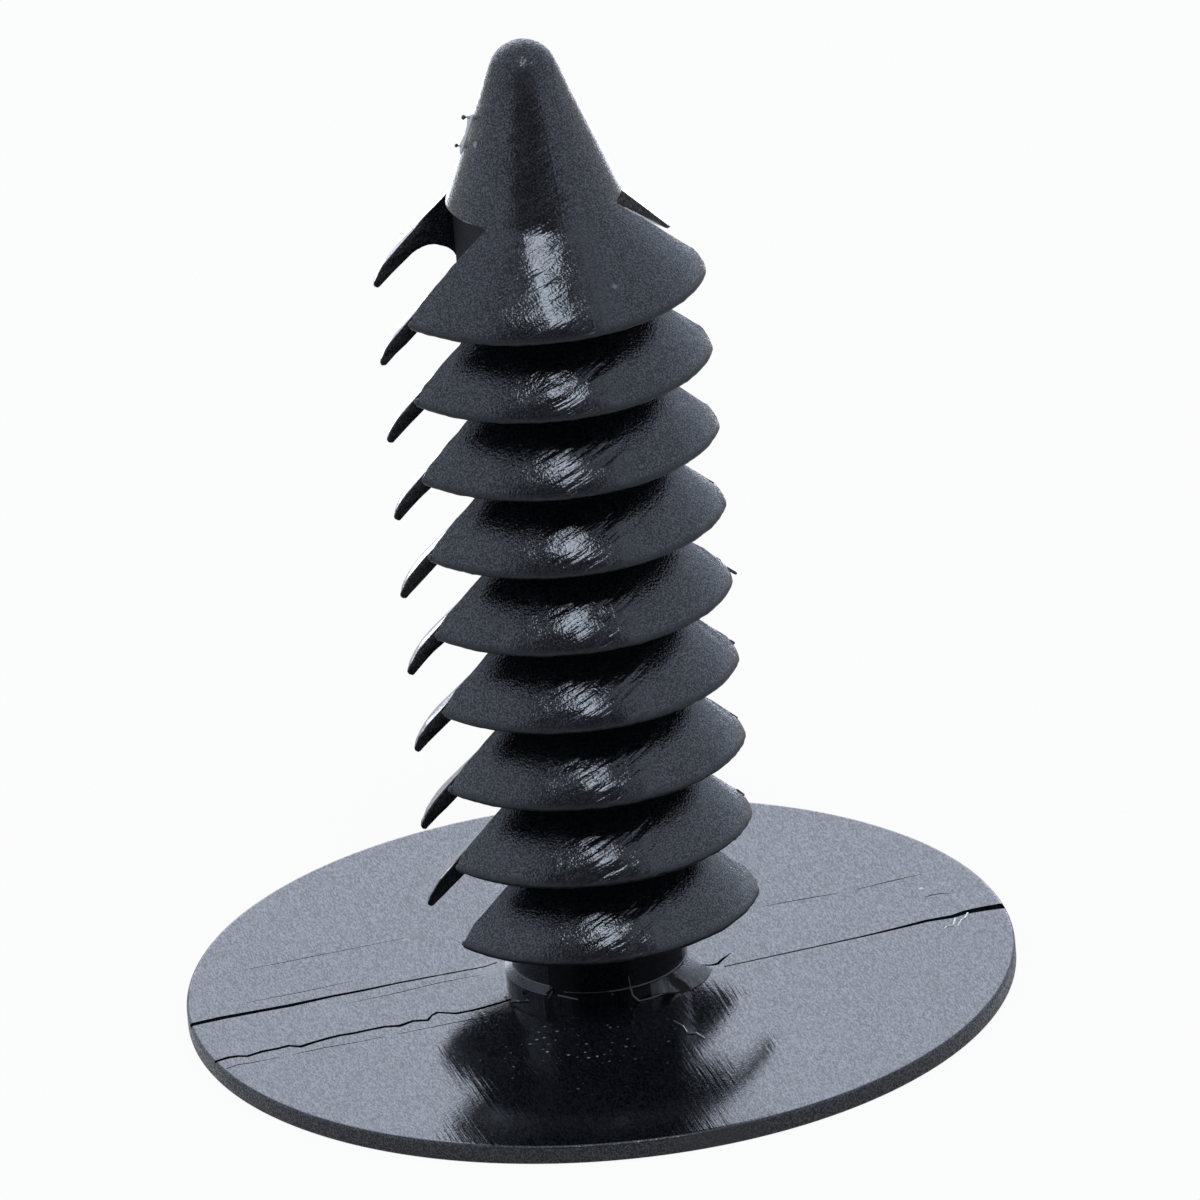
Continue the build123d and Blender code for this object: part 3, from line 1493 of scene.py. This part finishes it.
def mould_lines() -> list[MouldLine]:
    """The lines across the head, as the photo shows them.

    Returns:
        The lines, those on the left first.
    """
    back_left = [
        (-12.45, 2.18, 0.22), (-11.29, 2.22, 0.24), (-10.0, 2.15, 0.20), (-9.19, 2.10, 0.22),
        (-7.87, 2.13, 0.16), (-6.81, 2.09, 0.15), (-5.68, 2.10, 0.11), (-4.33, 2.04, 0.10),
        (-3.04, 1.98, 0.08), (-2.60, 2.10, 0.06),
    ]
    ragged_left = [
        (-12.45, -0.70, 0.14), (-11.98, -0.61, 0.16), (-11.70, -0.65, 0.16), (-11.45, -0.79, 0.15),
        (-10.94, -0.68, 0.16), (-10.47, -0.70, 0.15), (-10.10, -0.66, 0.16), (-9.81, -0.89, 0.19),
        (-9.30, -0.78, 0.15), (-8.86, -0.71, 0.16), (-8.49, -0.68, 0.15), (-8.10, -0.73, 0.16),
        (-7.62, -0.72, 0.14), (-7.08, -0.73, 0.15), (-6.66, -0.88, 0.18), (-6.20, -0.74, 0.15),
        (-5.77, -0.90, 0.16), (-5.56, -0.62, 0.12), (-5.34, -0.50, 0.14), (-4.86, -0.84, 0.16),
        (-4.39, -0.86, 0.14), (-3.96, -0.83, 0.15), (-3.46, -0.74, 0.14), (-3.05, -0.65, 0.12),
    ]
    front_right = [
        (3.45, -1.46, 0.07), (5.91, -1.41, 0.08), (7.82, -1.37, 0.10), (9.0, -1.30, 0.15),
        (9.98, -1.21, 0.19), (10.77, -1.28, 0.24), (11.21, -1.17, 0.28), (11.74, -1.19, 0.34),
        (12.44, -1.27, 0.40),
    ]
    leaf = [
        (2.60, -0.45, 0.03), (2.76, -0.75, 0.10), (2.95, -1.08, 0.12), (3.15, -1.18, 0.12),
        (3.34, -1.16, 0.16), (3.55, -0.94, 0.14), (3.93, -0.61, 0.04),
    ]
    lines = [
        back_left,
        ragged_left,
        [(-12.3, -1.36, 0.04), (-11.9, -1.24, 0.06), (-11.5, -1.30, 0.05), (-10.6, -1.33, 0.02)],
        [(-10.2, -1.33, 0.02), (-9.18, -1.31, 0.05), (-8.14, -1.40, 0.04), (-7.3, -1.41, 0.02)],
        [(-6.9, -1.42, 0.03), (-5.18, -1.44, 0.05), (-3.49, -1.58, 0.03)],
        [(-9.65, 5.21, 0.02), (-7.7, 5.17, 0.04), (-4.57, 5.11, 0.02)],
        [(-10.29, 2.92, 0.02), (-8.46, 2.86, 0.04), (-6.91, 2.88, 0.02)],
        [(-7.63, 1.41, 0.02), (-6.2, 1.42, 0.04), (-4.5, 1.52, 0.04), (-3.26, 1.47, 0.02)],
        front_right,
        [(5.8, 2.15, 0.02), (7.12, 2.08, 0.05), (8.3, 1.97, 0.03)],
        [(8.8, 1.98, 0.03), (10.11, 2.07, 0.05), (10.9, 2.09, 0.02)],
        [(10.46, 0.44, 0.03), (10.67, 0.50, 0.06), (10.92, 0.49, 0.05), (11.26, 0.35, 0.02)],
        leaf,
    ]
    return [MouldLine(points) for points in lines]


def foot_threads() -> list[Sliver]:
    """The threads and curls that lie on the head and round the foot, as the photo shows them.

    Returns:
        The threads, those on the right of the head first.
    """
    top = HEAD_TOP
    curl_left = [
        (10.24, -2.05, top, 0.025), (10.39, -1.88, top, 0.04), (10.59, -1.91, top, 0.04),
        (10.80, -1.46, top, 0.03),
    ]
    curl_right = [
        (10.68, -2.04, top, 0.025), (10.93, -1.65, top, 0.035), (11.10, -1.53, top, 0.035),
        (11.27, -1.25, top, 0.03),
    ]
    hair = [
        (0.84, -4.44, top + 0.01, 0.015), (0.97, -5.0, top + 0.03, 0.02), (0.92, -5.54, top + 0.04, 0.025),
        (1.16, -5.67, top + 0.03, 0.02), (1.29, -6.15, top + 0.01, 0.015),
    ]
    leaf_edge = [
        (2.60, -0.05, top + 0.06, 0.03), (2.62, -0.50, top + 0.06, 0.03), (2.72, -0.97, top + 0.05, 0.035),
        (2.87, -1.30, top + 0.03, 0.03), (3.05, -1.50, top, 0.02),
    ]
    pad_line = [
        (-2.05, -1.73, 1.10, 0.025), (-2.20, -1.70, 0.88, 0.025), (-2.68, -1.02, 0.63, 0.025),
        (-3.12, -0.84, 0.61, 0.025),
    ]
    # Their pale shares paint light: highlights along the leaf's edge, the lines round the pad and neck and
    # the pad's knob, and the light that comes through the thin curls and hair.
    return [
        Sliver("curl_left", curl_left, pale=0.75),
        Sliver("curl_right", curl_right, pale=0.75),
        Sliver("hair", hair, pale=0.12),
        Sliver("leaf_edge", leaf_edge, pale=0.2),
        Sliver("pad_line", pad_line, pale=0.13),
        Sliver("pad_knob", [(-3.20, -0.52, 0.62, 0.08), (-3.15, -0.55, 0.68, 0.06)], pale=0.4),
        Sliver("pad_curl", [(-3.05, -0.80, 0.62, 0.04), (-2.86, -0.99, 0.64, 0.04)], pale=0.2),
        Sliver("neck_dash", [(-1.95, -1.83, 0.98, 0.04), (-1.42, -2.27, 0.90, 0.03)], pale=0.13),
    ]


def nose_trim() -> list[Sliver | Flake]:
    """The thin film on the left of the nose, with its two knobs, as the photo shows them.

    Returns:
        The film and the knobs.
    """
    film = [
        (-1.42, 0.41, 28.96), (-1.70, 0.49, 28.88), (-1.74, 0.50, 28.6), (-1.82, 0.53, 28.3),
        (-1.99, 0.57, 28.0), (-2.0, 0.58, 27.7), (-1.98, 0.57, 27.5), (-1.7, 0.50, 27.6),
    ]
    # The film and its stalks are painted pale: painted light, for the light that comes through the thin
    # flash.
    return [
        Flake("nose_film", film, thickness=(0.011, 0.038, 0), pale=1.0),
        Sliver("nose_stalk_upper", [(-1.62, 0.46, 28.86, 0.04), (-1.80, 0.52, 28.87, 0.03)], pale=0.6),
        Sliver("nose_stalk_lower", [(-1.93, 0.56, 27.96, 0.03), (-2.08, 0.60, 27.95, 0.03)], pale=0.6),
        Sliver("nose_knob_upper", [(-1.76, 0.51, 28.93, 0.09), (-1.85, 0.54, 28.80, 0.06)]),
        Sliver("nose_knob_lower", [(-2.04, 0.59, 28.02, 0.05), (-2.12, 0.62, 27.92, 0.06)]),
    ]


def fin_burrs() -> list[Sliver]:
    """The burrs at the ends of the front fins, as the photo shows them.

    Returns:
        The burrs on the right edges of four fins, and then those on every left corner.
    """
    # Each right edge's burr runs between two points, as (x, height above the fin's lowest point)
    edge_burrs = {
        1: ((4.45, 0.55), (4.2, 0.8)),
        2: ((4.45, 0.55), (4.2, 0.75)),
        3: ((4.55, 0.45), (4.38, 0.6)),
        4: ((4.80, 0.15), (4.42, 0.47)),
    }
    burrs = []
    for fin, (low, high) in edge_burrs.items():
        rim = LOWEST_RIM + FIN_PITCH * fin
        ends = [(low[0], -1.74, rim + low[1], 0.05), (high[0], -1.72, rim + high[1], 0.06)]
        burrs.append(Sliver(f"edge_burr_{fin}", ends))
    # The corner burrs are painted a little pale: a painted highlight on each rounded left corner.
    corner_sizes = (0.10, 0.07, 0.11, 0.06, 0.09, 0.10, 0.07, 0.11, 0.08)
    for fin, size in enumerate(corner_sizes):
        rim = LOWEST_RIM + FIN_PITCH * fin
        ends = [(-4.70, -1.74, rim + 0.10, size), (-4.62, -1.70, rim + 0.16 + size, 0.7 * size)]
        burrs.append(Sliver(f"corner_burr_{fin}", ends, pale=0.05))
    return burrs


def main() -> None:
    """Builds the camera, the room, the floor, the clip and the lamps in order."""
    logging.basicConfig(level=logging.INFO, format="%(name)s: %(message)s")
    bpy.context.scene.view_settings.view_transform = "Standard"
    PhotoCamera().build()
    WhiteRoom().build()
    PaleFloor().build()
    clip = RatchetClip(
        head=Head(mould_lines()),
        foot=Foot(),
        stem=Stem(),
        rows=[FinRow(Side.FRONT), FinRow(Side.REAR)],
        slivers=foot_threads() + nose_trim() + fin_burrs(),
        finish=MouldedNylon(),
    ).build()
    Lamps().build(clip)
    log.info("clip of %d faces", len(clip.data.polygons))


if __name__ == "__main__":
    main()
